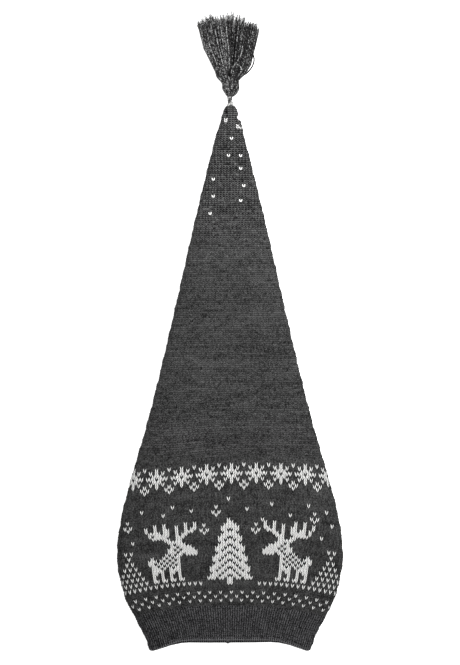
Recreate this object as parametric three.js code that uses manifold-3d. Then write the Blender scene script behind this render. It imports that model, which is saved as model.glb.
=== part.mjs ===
// A long knitted stocking cap, laid flat on its back: a ribbed band, a knitted crown that bulges above it and
// tapers to a gathered apex, and a tassel on a short cord.
// Millimetres, +Z up. The hat lies along Y with its mouth towards -Y and its tassel towards +Y.
import * as THREE from 'three';
import Module from 'manifold-3d';
import { mergeVertices } from 'three/addons/utils/BufferGeometryUtils.js';

const wasm = await Module();
wasm.setup();

// Driving dimensions of the knitting.
const WALL = 2.4; // thickness of the knitted wall
const PIECE_GAP = 0.3; // gap between pieces that meet
const BAND_HEIGHT = 42; // height of the ribbed band
const CROWN_END = 621; // distance from hem to gathered apex
const CAVITY_END = 600; // where the hollow of the crown closes
const EDGE_SHARE = 0.44; // height of the side folds, as a share of the section's thickness
const DOME_POWER = 2.3; // fullness of the front layer's arch
const FOLD_RUN = 30; // width over which the back layer curls up into a side fold
const FOLD_RUN_SHARE = 0.7; // the most of the half width that this curl may take
const SAG_POWER = 2.5; // how late a course starts to sag towards the side folds
const RIB_COUNT = 160; // ribs round the band
const RIB_DEPTH = 0.9;
const GATHER_COUNT = 6; // pleats drawn in at the apex
const GATHER_DEPTH = 0.34;
const GATHER_START = 588;

// Sections of the hat, hem to apex. at: distance from the hem along the middle. half: half width.
// high: thickness. sag: how far the course drops at the side folds. back: how far the back layer
// hangs below the front one in the middle. lift: height of the underside above the surface.
const SECTIONS = [
  { at: 0, half: 94, high: 26, sag: 11.6, back: 2.2, lift: 0 },
  { at: 20, half: 100.5, high: 28, sag: 13, back: 2, lift: 0 },
  { at: 42, half: 110.8, high: 30, sag: 14.6, back: 1.5, lift: 0 },
  { at: 60, half: 120, high: 31.5, sag: 15, back: 1, lift: 0 },
  { at: 85, half: 128, high: 32.5, sag: 13, back: 0.5, lift: 0 },
  { at: 112, half: 131.3, high: 33, sag: 10.5, back: 0, lift: 0 },
  { at: 150, half: 126.5, high: 32, sag: 8.2, back: 0, lift: 0 },
  { at: 195, half: 114.8, high: 30, sag: 6, back: 0, lift: 0 },
  { at: 245, half: 99, high: 27.5, sag: 2, back: 0, lift: 0 },
  { at: 303, half: 83.5, high: 25, sag: 0, back: 0, lift: 0 },
  { at: 395, half: 62, high: 21, sag: 0, back: 0, lift: 0 },
  { at: 490, half: 40.5, high: 17, sag: 0, back: 0, lift: 0 },
  { at: 581, half: 18, high: 12.5, sag: 0, back: 0, lift: 0.4 },
  { at: 606, half: 10.3, high: 9.6, sag: 0, back: 0, lift: 2 },
  { at: 621, half: 4.2, high: 6.8, sag: 0, back: 0, lift: 3.6 },
];

// Steps round half a section of the crown, and courses of facets along the hat.
const DOME_STEPS = 11;
const FOLD_STEPS = 6;
const FLAT_STEPS = 5;
const CROWN_COURSES = 29;
const BAND_COURSES = 3;
const HEM_ROUNDING = 0.9; // rounding of the hem's outer edge
const INNER_RIB_SHARE = 4; // outer points for each inner point of the band

// The tassel and what holds it, all round one axis.
const AXIS_HEIGHT = 7;
const CORD_RADIUS = 1.9;
const TIE_OUTER = 4.3;
const TIE_LENGTH = 4;
const TIE_ROUNDING = 1;
const TIE_FLATNESS = 0.95;
const TASSEL_HEIGHT = 7.7; // height of the tassel's own axis
const TASSEL_FLATNESS = 0.8;
const HEAD_START = 631;
const NECK_AT = 651; // middle of the groove that the binding lies in
const NECK_RADIUS = 7.6;
const BINDING_THICKNESS = 1.2;
const BINDING_HALF_LENGTH = 1.1;
const LOCK_ROOT = 655; // where the locks leave the head
const LOCK_BURIED = 3; // length of a lock inside the head
const LOCK_STEPS = 6;
const LOCK_SIDES = 6;
const LOCK_FLARE = 0.45; // below 1 the skirt opens close to the head and then runs nearly straight
const LOCK_OVERLAP = 1.25; // width of a lock's end, as a share of its place in the row
const LOCK_END_TAPER = 0.72;
const TASSEL_END = 725.6;
const SKIRT_HALF_WIDTH = 33.5; // middle of the outermost lock at its cut end
const SKIRT_EDGE_DROP = 13; // how much shorter the outermost strands reach
const ROUND_STEPS = 20;

// Profile of the head from the cord to the root of the skirt. at: distance from the hem.
const HEAD_PROFILE = [
  { at: HEAD_START, radius: 2.4 },
  { at: 632.8, radius: 5.6 },
  { at: 636, radius: 8.3 },
  { at: 640.5, radius: 9.5 },
  { at: 645.5, radius: 9.3 },
  { at: NECK_AT - 1.6, radius: NECK_RADIUS },
  { at: NECK_AT + 1.6, radius: NECK_RADIUS },
  { at: 655, radius: 9.6 },
  { at: 660, radius: 9.6 },
  { at: 666, radius: 7 },
  { at: 669, radius: 0 },
];

// Where a lock leaves the head: its half width and half thickness, and the spread of the row.
const LOCK_ROOT_SIZE = { wide: 2.6, thick: 3, spread: 5 };

// Layers of locks in the skirt. root: height where they leave the head. end: height, half thickness,
// reach and spread at the cut ends.
const LOCK_LAYERS = [
  { count: 9, root: 7, end: { height: 3.6, thick: 3.9, reach: 1, spread: 1 } },
  { count: 8, root: 8.6, end: { height: 8, thick: 3.6, reach: 0.975, spread: 0.86 } },
];

// Value of one column of SECTIONS at a distance from the hem, by Hermite curves through the rows.
function sectionValue(at, column) {
  const last = SECTIONS.length - 1;
  const slope = (i) => {
    const a = SECTIONS[Math.max(i - 1, 0)];
    const b = SECTIONS[Math.min(i + 1, last)];
    return (b[column] - a[column]) / (b.at - a.at);
  };
  let i = 0;
  while (i < last - 1 && at > SECTIONS[i + 1].at) i += 1;
  const p = SECTIONS[i];
  const q = SECTIONS[i + 1];
  const run = q.at - p.at;
  const s = (at - p.at) / run;
  const s2 = s * s;
  const s3 = s2 * s;
  const ends = p[column] * (2 * s3 - 3 * s2 + 1) + q[column] * (3 * s2 - 2 * s3);
  return ends + run * (slope(i) * (s3 - 2 * s2 + s) + slope(i + 1) * (s3 - s2));
}

// Half a section from the middle of the front, round the right fold, to just before the middle of the back.
// The front is a superellipse, the fold below it a quarter ellipse, and the back a flat run.
function halfLoop(at, inset) {
  const half = sectionValue(at, 'half') - inset;
  const high = sectionValue(at, 'high');
  const mid = high * EDGE_SHARE;
  const top = high - inset - mid;
  const low = mid - inset;
  const run = Math.min(FOLD_RUN, half * FOLD_RUN_SHARE);
  const points = [];
  for (let i = 0; i <= DOME_STEPS; i += 1) {
    const turn = (Math.PI / 2) * (1 - i / DOME_STEPS);
    const across = Math.max(Math.cos(turn), 0) ** (2 / DOME_POWER);
    const up = Math.sin(turn) ** (2 / DOME_POWER);
    points.push({ x: half * across, z: mid + top * up, back: false });
  }
  for (let i = 1; i <= FOLD_STEPS; i += 1) {
    const turn = (Math.PI / 2) * (i / FOLD_STEPS);
    points.push({ x: half - run + run * Math.cos(turn), z: mid - low * Math.sin(turn), back: true });
  }
  for (let i = 1; i < FLAT_STEPS; i += 1) {
    points.push({ x: (half - run) * (1 - i / FLAT_STEPS), z: inset, back: true });
  }
  return points;
}

// A whole closed section, clockwise as seen from the mouth, starting at the middle of the front.
function fullLoop(at, inset) {
  const right = halfLoop(at, inset);
  const left = right.slice(1).reverse().map((p) => ({ ...p, x: -p.x }));
  return [...right, { x: 0, z: inset, back: true }, ...left];
}

// The same number of points at even distances along a closed loop.
function evenLoop(loop, count) {
  const ends = [...loop.slice(1), loop[0]];
  const lengths = loop.map((p, i) => Math.hypot(ends[i].x - p.x, ends[i].z - p.z));
  const total = lengths.reduce((sum, length) => sum + length, 0);
  const points = [];
  let edge = 0;
  let before = 0;
  for (let k = 0; k < count; k += 1) {
    const target = (total * k) / count;
    while (before + lengths[edge] < target) {
      before += lengths[edge];
      edge += 1;
    }
    const share = (target - before) / lengths[edge];
    const x = loop[edge].x + (ends[edge].x - loop[edge].x) * share;
    const z = loop[edge].z + (ends[edge].z - loop[edge].z) * share;
    points.push({ x, z, back: loop[edge].back && ends[edge].back });
  }
  return points;
}

// Lays a loop along the hat: the course sags towards the folds, and the back layer hangs a little lower.
function courseRing(loop, at) {
  const half = sectionValue(at, 'half');
  const sag = sectionValue(at, 'sag');
  const back = sectionValue(at, 'back');
  const lift = Math.max(sectionValue(at, 'lift'), 0);
  return loop.map((p) => {
    const across = Math.min(Math.abs(p.x) / half, 1);
    const hang = p.back ? back * (1 - across * across) : 0;
    return new THREE.Vector3(p.x, at - sag * across ** SAG_POWER - hang, p.z + lift);
  });
}

// Draws a section in to pleats near the apex.
function gathered(loop, at) {
  const depth = GATHER_DEPTH * THREE.MathUtils.smoothstep(at, GATHER_START, CROWN_END);
  const mid = sectionValue(at, 'high') * EDGE_SHARE;
  return loop.map((p, i) => {
    const wave = 0.5 - 0.5 * Math.cos((GATHER_COUNT * 2 * Math.PI * i) / loop.length);
    const keep = 1 - depth * wave;
    return { ...p, x: p.x * keep, z: mid + (p.z - mid) * keep };
  });
}

// Pulls every other point of an even loop inwards, which leaves one rib between two furrows.
function ribbed(loop, depth) {
  return loop.map((p, i) => {
    if (i % 2 === 0) return p;
    const before = loop[(i - 1 + loop.length) % loop.length];
    const after = loop[(i + 1) % loop.length];
    const run = Math.hypot(after.x - before.x, after.z - before.z);
    const inX = (after.z - before.z) / run;
    const inZ = -(after.x - before.x) / run;
    return { ...p, x: p.x + inX * depth, z: p.z + inZ * depth };
  });
}

// Triangles between two rings of the same number of points.
function bridge(triangles, a, b) {
  for (let i = 0; i < a.length; i += 1) {
    const j = (i + 1) % a.length;
    triangles.push([a[i], b[i], b[j]], [a[i], b[j], a[j]]);
  }
}

// Triangles between a fine ring and a coarse one that has one point for every share of its points.
function rim(triangles, fine, coarse, share) {
  for (let k = 0; k < coarse.length; k += 1) {
    const next = coarse[(k + 1) % coarse.length];
    const start = k * share;
    for (let m = 0; m < share; m += 1) {
      const a = fine[start + m];
      const b = fine[(start + m + 1) % fine.length];
      triangles.push([a, b, m < share / 2 ? coarse[k] : next]);
      if (m === share / 2 - 1) triangles.push([coarse[k], b, next]);
    }
  }
}

// Triangles from a ring to the middle of it.
function cap(triangles, ring) {
  const centre = new THREE.Vector3();
  ring.forEach((p) => centre.add(p));
  centre.divideScalar(ring.length);
  for (let i = 0; i < ring.length; i += 1) {
    triangles.push([ring[i], centre, ring[(i + 1) % ring.length]]);
  }
}

// A closed geometry from loose triangles. Flip turns all of its faces round.
function solidFrom(triangles, flip = false) {
  const ordered = flip ? triangles.map((t) => [...t].reverse()) : triangles;
  const positions = ordered.flat().flatMap((p) => [p.x, p.y, p.z]);
  const geometry = new THREE.BufferGeometry();
  geometry.setAttribute('position', new THREE.Float32BufferAttribute(positions, 3));
  const merged = mergeVertices(geometry, 1e-4);
  merged.computeVertexNormals();
  return merged;
}

function named(name, geometry, color, roughness) {
  const material = new THREE.MeshStandardMaterial({ color, roughness, metalness: 0 });
  const mesh = new THREE.Mesh(geometry, material);
  mesh.name = name;
  return mesh;
}

const CHARCOAL = 0x434343;
const CHARCOAL_RIB = 0x393939;
const OFF_WHITE = 0xe6e6e1;

// The crown: outer skin from the band to the apex, inner skin back from the end of the hollow.
function crown() {
  const start = BAND_HEIGHT + PIECE_GAP;
  const outer = [];
  const inner = [];
  for (let i = 0; i <= CROWN_COURSES; i += 1) {
    const share = i / CROWN_COURSES;
    const at = THREE.MathUtils.lerp(start, CROWN_END, share);
    const inside = THREE.MathUtils.lerp(start, CAVITY_END, share);
    outer.push(courseRing(gathered(fullLoop(at, 0), at), at));
    inner.push(courseRing(fullLoop(inside, WALL), inside));
  }
  const triangles = [];
  for (let i = 0; i < CROWN_COURSES; i += 1) {
    bridge(triangles, outer[i], outer[i + 1]);
    bridge(triangles, inner[i + 1], inner[i]);
  }
  cap(triangles, outer[CROWN_COURSES]);
  cap(triangles, [...inner[CROWN_COURSES]].reverse());
  bridge(triangles, inner[0], outer[0]);
  return named('crown', solidFrom(triangles, true), CHARCOAL, 0.95);
}

// The ribbed band: ribs and furrows outside, smooth inside, with a rounded hem.
function ribbedBand() {
  const outer = [];
  const inner = [];
  const fine = RIB_COUNT * 2;
  for (let i = 0; i <= BAND_COURSES; i += 1) {
    const at = (BAND_HEIGHT * i) / BAND_COURSES;
    const inset = i === 0 ? HEM_ROUNDING : 0;
    const depth = i === 0 ? RIB_DEPTH / 2 : RIB_DEPTH;
    outer.push(courseRing(ribbed(evenLoop(fullLoop(at, inset), fine), depth), at));
    inner.push(courseRing(evenLoop(fullLoop(at, WALL), fine / INNER_RIB_SHARE), at));
  }
  const triangles = [];
  for (let i = 0; i < BAND_COURSES; i += 1) {
    bridge(triangles, outer[i], outer[i + 1]);
    bridge(triangles, inner[i + 1], inner[i]);
  }
  rim(triangles, outer[0], inner[0], INNER_RIB_SHARE);
  const top = [];
  rim(top, outer[BAND_COURSES], inner[BAND_COURSES], INNER_RIB_SHARE);
  top.forEach((t) => triangles.push([...t].reverse()));
  return named('ribbed_band', solidFrom(triangles, true), CHARCOAL_RIB, 0.95);
}

// A turned solid along the hat's axis from [radius, at] pairs; the ends lie on the axis unless it is a ring.
function turned(pairs, height, flatness) {
  const profile = pairs.map(([radius, at]) => new THREE.Vector2(radius, at));
  const geometry = new THREE.LatheGeometry(profile, ROUND_STEPS);
  geometry.scale(1, 1, flatness);
  geometry.translate(0, 0, height);
  geometry.deleteAttribute('normal');
  geometry.deleteAttribute('uv');
  const merged = mergeVertices(geometry, 1e-4);
  merged.computeVertexNormals();
  return merged;
}

// The white yarn drawn round the gathered apex.
function apexTie() {
  const from = CROWN_END + PIECE_GAP;
  const to = from + TIE_LENGTH;
  const inner = CORD_RADIUS + PIECE_GAP;
  const bulge = (TIE_OUTER + inner) / 2;
  const widest = [[TIE_OUTER, from + TIE_ROUNDING], [TIE_OUTER, to - TIE_ROUNDING]];
  const pairs = [[inner, from], [bulge, from], ...widest, [bulge, to], [inner, to], [inner, from]];
  return named('apex_tie', turned(pairs, AXIS_HEIGHT, TIE_FLATNESS), OFF_WHITE, 0.9);
}

// The short cord between the apex and the tassel's head.
function tasselCord() {
  const from = CROWN_END + PIECE_GAP;
  const to = HEAD_START - PIECE_GAP;
  const pairs = [[0, from], [CORD_RADIUS, from], [CORD_RADIUS, to], [0, to]];
  return named('tassel_cord', turned(pairs, AXIS_HEIGHT, 1), CHARCOAL, 0.9);
}

// The yarn wound round the tassel's neck.
function tasselBinding() {
  const inner = NECK_RADIUS + PIECE_GAP;
  const outer = inner + BINDING_THICKNESS;
  const from = NECK_AT - BINDING_HALF_LENGTH;
  const to = NECK_AT + BINDING_HALF_LENGTH;
  const edge = BINDING_HALF_LENGTH / 2;
  const pairs = [[inner, from], [outer, from + edge], [outer, to - edge], [inner, to], [inner, from]];
  return named('tassel_binding', turned(pairs, TASSEL_HEIGHT, TASSEL_FLATNESS), CHARCOAL, 0.9);
}

// One lock of the skirt: a flat six-sided section carried from the head to its cut end.
function lock(layer, index) {
  const side = (2 * index) / (layer.count - 1) - 1;
  const from = LOCK_ROOT_SIZE;
  const rootX = side * from.spread;
  const endX = side * SKIRT_HALF_WIDTH * layer.end.spread;
  const length = (TASSEL_END - LOCK_ROOT - SKIRT_EDGE_DROP * side * side) * layer.end.reach;
  const endWide = (SKIRT_HALF_WIDTH / layer.count) * LOCK_OVERLAP;
  const { lerp } = THREE.MathUtils;
  const rings = [];
  for (let i = 0; i <= LOCK_STEPS; i += 1) {
    const share = i / LOCK_STEPS;
    const flare = share ** LOCK_FLARE;
    const x = lerp(rootX, endX, flare);
    const y = lerp(LOCK_ROOT - LOCK_BURIED, LOCK_ROOT + length, share);
    const z = lerp(layer.root, layer.end.height, flare);
    const taper = i === LOCK_STEPS ? LOCK_END_TAPER : 1;
    const halfWide = lerp(from.wide, endWide, share) * taper;
    const halfThick = lerp(from.thick, layer.end.thick, share) * taper;
    const ring = [];
    for (let k = 0; k < LOCK_SIDES; k += 1) {
      const turn = (k * 2 * Math.PI) / LOCK_SIDES;
      ring.push(new THREE.Vector3(x + halfWide * Math.cos(turn), y, z + halfThick * Math.sin(turn)));
    }
    rings.push(ring);
  }
  const triangles = [];
  for (let i = 0; i < LOCK_STEPS; i += 1) bridge(triangles, rings[i], rings[i + 1]);
  cap(triangles, rings[LOCK_STEPS]);
  cap(triangles, [...rings[0]].reverse());
  return solidFrom(triangles);
}

function toManifold(geometry) {
  const numbers = new Float32Array(geometry.attributes.position.array);
  const triVerts = new Uint32Array(geometry.index.array);
  return new wasm.Manifold(new wasm.Mesh({ numProp: 3, vertProperties: numbers, triVerts }));
}

function fromManifold(solid) {
  const mesh = solid.getMesh();
  const geometry = new THREE.BufferGeometry();
  geometry.setAttribute('position', new THREE.BufferAttribute(mesh.vertProperties, 3));
  geometry.setIndex(new THREE.BufferAttribute(mesh.triVerts, 1));
  geometry.computeVertexNormals();
  return geometry;
}

// The tassel: its head and the locks of its skirt, fused.
function tassel() {
  const pairs = HEAD_PROFILE.map((p) => [p.radius, p.at]);
  let solid = toManifold(turned([[0, HEAD_START], ...pairs], TASSEL_HEIGHT, TASSEL_FLATNESS));
  LOCK_LAYERS.forEach((layer) => {
    for (let i = 0; i < layer.count; i += 1) solid = solid.add(toManifold(lock(layer, i)));
  });
  return named('tassel', fromManifold(solid), CHARCOAL, 0.95);
}

const hat = new THREE.Group();
hat.add(ribbedBand(), crown(), apexTie(), tasselCord(), tasselBinding(), tassel());

// The origin is under the middle of the whole hat, on the surface that it lies on.
const box = new THREE.Box3().setFromObject(hat);
hat.position.set(-(box.min.x + box.max.x) / 2, -(box.min.y + box.max.y) / 2, -box.min.z);

export default hat;
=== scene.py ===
"""A long knitted stocking cap with a ribbed band and a tassel, lying flat on a pale floor.

The knitting is real relief: every stitch is two slanted legs on a grid whose columns are the wales and whose
rows are the courses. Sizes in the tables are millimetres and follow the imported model.
"""

import bpy
import numpy as np
from bpy.props import FloatProperty, FloatVectorProperty, IntProperty, PointerProperty
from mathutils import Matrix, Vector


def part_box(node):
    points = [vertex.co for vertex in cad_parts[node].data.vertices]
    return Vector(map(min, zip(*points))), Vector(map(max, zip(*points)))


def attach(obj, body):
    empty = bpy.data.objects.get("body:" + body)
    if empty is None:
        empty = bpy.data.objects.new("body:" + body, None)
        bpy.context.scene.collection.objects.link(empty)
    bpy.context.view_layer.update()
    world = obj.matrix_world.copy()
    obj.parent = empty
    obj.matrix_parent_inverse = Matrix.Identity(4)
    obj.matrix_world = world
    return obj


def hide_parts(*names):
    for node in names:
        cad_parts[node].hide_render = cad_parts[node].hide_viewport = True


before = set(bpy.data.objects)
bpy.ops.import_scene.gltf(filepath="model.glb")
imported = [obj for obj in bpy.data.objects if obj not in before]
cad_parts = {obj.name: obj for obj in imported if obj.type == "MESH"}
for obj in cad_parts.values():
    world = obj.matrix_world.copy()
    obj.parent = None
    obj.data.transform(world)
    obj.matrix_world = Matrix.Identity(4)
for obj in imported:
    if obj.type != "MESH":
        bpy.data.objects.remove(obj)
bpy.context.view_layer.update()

bl_info = {
    "name": "Knitted stocking cap",
    "version": (1, 0, 0),
    "blender": (4, 5, 0),
    "location": "View3D > Sidebar > Knitted cap",
    "description": "Makes a knitted stocking cap stitch by stitch",
    "category": "Add Mesh",
}

MM = 0.001

# Distances from the hem. The crown is knitted in two lengths that meet at PATTERN_END.
BAND_HEIGHT = 42
PATTERN_END = 212
CROWN_END = 621
CAVITY_END = 598
HEM_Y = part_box("crown")[1][1] / MM - CROWN_END

# Thickness of the knitting, where its inside comes nearer to the skin, the step between the rows there, and the
# height of a course.
WALL = 2.4
LINING_THINS_FROM = 560
LINING_STEP = 12
LINING_COURSE = 2.6

# Sections of the hat, hem to apex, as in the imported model. at: distance from the hem. half: half width.
# high: thickness. sag: how far a course drops at the side folds. back: how far the back layer hangs
# below the front one in the middle. lift: height of the underside above the floor.
SECTION_COLUMNS = ("at", "half", "high", "sag", "back", "lift")
SECTIONS = np.array([
    (0, 94, 26, 11.6, 2.2, 0),
    (20, 100.5, 28, 13, 2, 0),
    (42, 110.8, 30, 14.6, 1.5, 0),
    (60, 120, 31.5, 15, 1, 0),
    (85, 128, 32.5, 13, 0.5, 0),
    (112, 131.3, 33, 10.5, 0, 0),
    (150, 126.5, 32, 8.2, 0, 0),
    (195, 114.8, 30, 6, 0, 0),
    (245, 99, 27.5, 2, 0, 0),
    (303, 83.5, 25, 0, 0, 0),
    (395, 62, 21, 0, 0, 0),
    (490, 40.5, 17, 0, 0, 0),
    (581, 18, 12.5, 0, 0, 0.4),
    (606, 10.3, 9.6, 0, 0, 2),
    (621, 4.2, 6.8, 0, 0, 3.6),
])

# A section: share of its thickness at which the side folds lie, power of the front's superellipse, and the
# width over which the back rises to a fold, which is at most a share of the half width.
EDGE_SHARE = 0.44
DOME_POWER = 2.3
FOLD_RUN = 30
FOLD_RUN_SHARE = 0.7
SAG_POWER = 2.5

# Height of the front's low waves, which grow from nothing to this between two half widths of the hat, and how
# uneven the side folds are.
LUMP_HEIGHT = 0.9
LUMPS_BY_HALF_WIDTH = (8, 60)
EDGE_WOBBLE = 0.3
EDGE_WOBBLE_POWER = 12

# How far the front hem drops below its middle, by share of the way to the side fold.
HEM_SHARE = (0, 0.5, 0.6, 0.685, 0.74, 0.8, 0.85, 0.9, 0.94, 0.97, 1)
HEM_DROP = (0, 0.3, 1.2, 3.2, 4.6, 6.8, 8.5, 10.2, 11.3, 11.2, 10.2)
HEM_SHAPE_END = 26

# The middle of the front hem is drawn up, and the back layer shows below it, a little more on the left. The
# end of the back seam stands out there: its place, half width and length, and how far up it fades.
HEM_DRAWN_TO = 40
FRONT_HEM = 3.2
BACK_HEM = 0.9
BACK_HEM_TILT = 0.5
SEAM_END = (-2.3, 1.6, 1.3)
SEAM_UP = 5

# The hem's roll: how far it hangs, the groove between two ribs, its tone, and how much paler the band's first
# row is. The roll's pale tone and the paler first row are a painted highlight on the turned edge. INNER_RIBS is
# the depth of the ribs inside at a wale's four columns.
HEM_ROLL = 0.9
HEM_GROOVE = 0.9
HEM_HIGHLIGHT_TONE = 0.45
HEM_ROW_HIGHLIGHT = 0.2
INNER_RIBS = np.array([0.0, -0.25, -0.75, -0.25])

# The star band's courses slide down the skin towards the left fold and up towards the right one, in full
# between the two middle distances of SLIDE_AT.
SLIDE_SHARE = (-1, -0.73, -0.485, -0.23, 0, 0.275, 0.53, 0.78, 1)
SLIDE_DROP = (2.5, 4.8, 3.8, 1.2, 0, -0.8, -0.6, -1.3, -1.6)
SLIDE_AT = (70, 190, 215, 320)

# The heather grows paler towards the apex. A streak runs over STREAK legs of a course, and a broad band over
# BAND_LEGS legs of BAND_COURSES courses. Single legs differ more by ROUGHER times past ROUGH_BETWEEN.
TONE_AT = (0, 60, 200, 420, 580, 621)
TONE_TREND = (0.155, 0.165, 0.197, 0.258, 0.37, 0.63)
STREAK = 9
BAND_LEGS = 50
BAND_COURSES = 5
ROUGH_BETWEEN = (400, 600)
ROUGHER = 3.2

# Painted shade on the lower half of a course and painted light on its upper half, as on a ridge lit from
# above: how much darker and paler they are. More and more stitches have the gathered yarn, which is paler.
# CAP_TONE is the tone of a closed end.
ARC_AT = (216, 450, 560, 606, 621)
ARC_LIGHT_AND_SHADE = (0, 0.06, 0.17, 0.34, 0.34)
GATHERED_FROM = 430
GATHERED_FULL = 570
GATHERED_PALER = 0.13
CAP_TONE = 0.2

# The gathers at the apex. One pleat left of the middle is the deep crease of the front, with painted shade on one
# leg in it.
GATHER_COUNT = 8
GATHER_START = 588
GATHER_DEPTH = 0.3
CREASE_DEPTH = 0.5
APEX_RISE = 1.8
CREASE_WAY_ROUND = -0.11
CREASE_SPREAD = 0.035
CREASE_LEG = -3
CREASE_SHADE_FROM = 604
CREASE_PAINTED_SHADE = 0.8

# Shares by which the gathered end stands out at its two side folds: a small lobe below the tie on the right.
# It grows and ends again between these places round the section.
LOBE_FROM = (0.06, 0.2)
LOBE_TO = (-0.44, -0.3)
LOBE_AT = (590, 593.9, 598.6, 600.9, 603.2, 605.5, 607.8, 610.2, 612.5, 614.8, 617.1, 619.4, 621)
LOBE_LEFT = (0, 0, 0, 0, 0, 0, 0.1, 0.11, 0.12, 0.13, 0.1, 0.16, 0)
LOBE_RIGHT = (0, 0.05, 0.11, 0.14, 0.24, -0.09, -0.12, 0.17, 0.36, 0.46, 0.42, 0.4, 0.15)

# The stitch grid: a quarter of the way round holds QUARTER wales, and a wale has FACETS columns. Above the
# pattern the wales go over to one pitch, CONE_PITCH.
QUARTER = 40
FACETS = 4
ROUND = 4 * QUARTER * FACETS
FOLD_COLUMNS = (QUARTER * FACETS, 3 * QUARTER * FACETS)
CONE_PITCH = 3.57
DECREASES_FROM = 100
DECREASES_FULL = 150

# Height of a course at distances from the hem, and how far its legs slant, in courses.
COURSE_AT = (0, 38, 42, 56, 62, 150, 178, 206, 216, 621)
COURSE_PITCH = (2.6, 2.6, 2.3, 2.3, 2.9, 2.95, 3.25, 3.25, 2.5, 2.5)
SLANT_AT = (0, 40, 44, 206, 218, 330, 480, 604, 608, 621)
SLANT = (0.8, 0.8, 1.0, 1.0, 0.3, 0.3, 0.3, 0.35, 0.2, 0.15)

# Depth of the relief at a wale's four columns, on a course's lower edge and in its middle.
KNIT_RELIEF = np.array([[0.7, 0.35, 0.9, 0.35], [0.5, 0.0, 0.4, 0.0]])
RIB_RELIEF = np.array([[1.7, 0.3, 0.5, 0.3], [1.55, 0.0, 0.22, 0.0]])

# How unevenly a stitch lies: share of its depth and millimetres along the hat, and wales round it.
STITCH_JITTER = 0.12
WALE_JITTER = 0.035

# The relief grows flatter past RELIEF_FADES_FROM.
RELIEF_FADES_FROM = 600

# Numbers of the cone's yarns, where 0 is the plain one and 1 the white one.
GATHERED = 2
FULL_WHITE = 3

# Charts, top row first. A mark is a white stitch.
STAR = (
    "....#...",
    "..#.#.#.",
    "...###..",
    ".###.###",
    "...###..",
    "..#.#.#.",
    "#...#...",
    ".#.....#",
    "#.......",
)
STAR_CENTRE_AT = 193.4
STAR_ROWS_BELOW = 5
DIAMOND = (".#.", "...", "#.#", ".#.")
REINDEER = (
    ".#..#......#..#...",
    ".#..#..#...#..#..#",
    ".##.#..#..##..#..#",
    "..###..#..##.##.#.",
    "....##.#..#####.#.",
    ".....###...#####..",
    "......##..##......",
    "......#####.......",
    ".....###.#........",
    "...####.##........",
    "..####.#.##.......",
    ".######.###.......",
    ".####.##.#.#......",
    ".......##.#.#...#.",
    ".......#.#.#.#.###",
    ".......##.#.#.#.##",
    ".......#.#.#.#.##.",
    ".......##.#.#.###.",
    ".......####..####.",
    ".......#.##..#.##.",
    ".......#..#..#..#.",
    ".......#..#..#..#.",
    "......##.##.##.##.",
)

# The picture's ground, where its parts begin in wales from the middle, and their courses.
PICTURE_AT = 68
REINDEER_FROM = 10
TREE_ROWS = 25
BUSH_ROWS = 15
BUSH_FROM = 34
GROUND_WALES = (9, 30)

# Dots above the band: the course, and how many wales they are moved.
DOT_ROWS = ((2, 0), (4, 2), (6, 0))

# Single white stitches and diamonds on both layers: wale from the middle, and distance from the hem.
SNOW = (
    (-1, 166.5), (-19, 161), (-29, 157), (-13, 154), (-22, 151), (5, 154), (-1, 141), (-26, 131),
    (13, 160), (19, 148), (25, 160), (31, 153), (33, 139), (10, 143), (-33, 122), (30, 124),
)
DIAMONDS = ((-5, 152), (-34, 139), (8, 129), (27, 146), (-9, 131))
HIGH_SNOW = (
    (3, 562.5), (-1, 563), (0, 582.6), (3, 547), (-6, 536), (4, 528.5), (-6, 516.5), (3, 511.5), (-7, 496),
)
APEX_SNOW = ((-2, 604.6), (-2, 602.1), (2, 596), (2, 598.5), (3, 596))

# The tassel, round an axis at AXIS_HEIGHT that sinks to SKIRT_HEIGHT: its half width on the left and on the
# right, and its half thickness.
AXIS_HEIGHT = 7.7
SKIRT_HEIGHT = 5.0
SINKS_BETWEEN = (655, 690)
TASSEL_AT = (631, 632.8, 636, 640.5, 646.5, 649.6, 652.5, 655, 659.5, 668.7, 687, 706, 727)
TASSEL_LEFT = (2.4, 4.2, 6.3, 8.9, 8.6, 10.6, 12.2, 12.3, 13.9, 19.6, 30, 35.2, 41)
TASSEL_RIGHT = (2.4, 6.4, 8.7, 10.5, 10.4, 9.2, 9.6, 11.6, 16.2, 23, 28.6, 33.4, 37)
TASSEL_HIGH = (1.9, 4.6, 6.6, 7.5, 7.3, 6.6, 6.9, 7.1, 7, 6.2, 5.2, 4.6, 4.2)

# Where the strands end, by their way across, how unevenly, and how much a few are longer or shorter.
TIP_WAY = (-1, -0.9, -0.78, -0.56, -0.3, -0.2, -0.1, 0, 0.17, 0.45, 0.74, 0.86, 1)
TIP_AT = (710, 712, 714, 718, 722.5, 719.5, 724.5, 725, 722, 715, 709, 706.5, 703)
TIP_UNEVEN = 2.2
TIP_LONGER = 4.0
TIP_SHORTER = 5.0

# The strands are drawn in at the neck and stand out just past it. WAVE_ASIDE and WAVE_UP are their slow waves.
NECK_AT = 651
SHOULDER = 4.5
WAVE_ASIDE = 0.22
WAVE_UP = 0.7
STRAND_STEPS = 24

# The strands part in front: place, spread, and how far they go aside and down. STRAY is how far a strand strays
# from its share of the skirt, and DRAWN_IN how much closer the middle ones lie at the neck. Those on the right
# are darker.
PARTING_AT = 657
PARTING_X = -1.4
PARTING_LONG = 4.5
PARTING_ACROSS = 3.0
PARTING_WIDE = 1.5
PARTING_DEEP = 2.2
STRAY = 0.035
DRAWN_IN = 0.6
RIGHT_DARKER = 0.43

# Loose fibres at the strands' ends.
FRAY_SPRAY = 0.32
FRAY_LENGTH = (1.2, 6.2)
FRAY_RADIUS = 0.3

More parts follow.
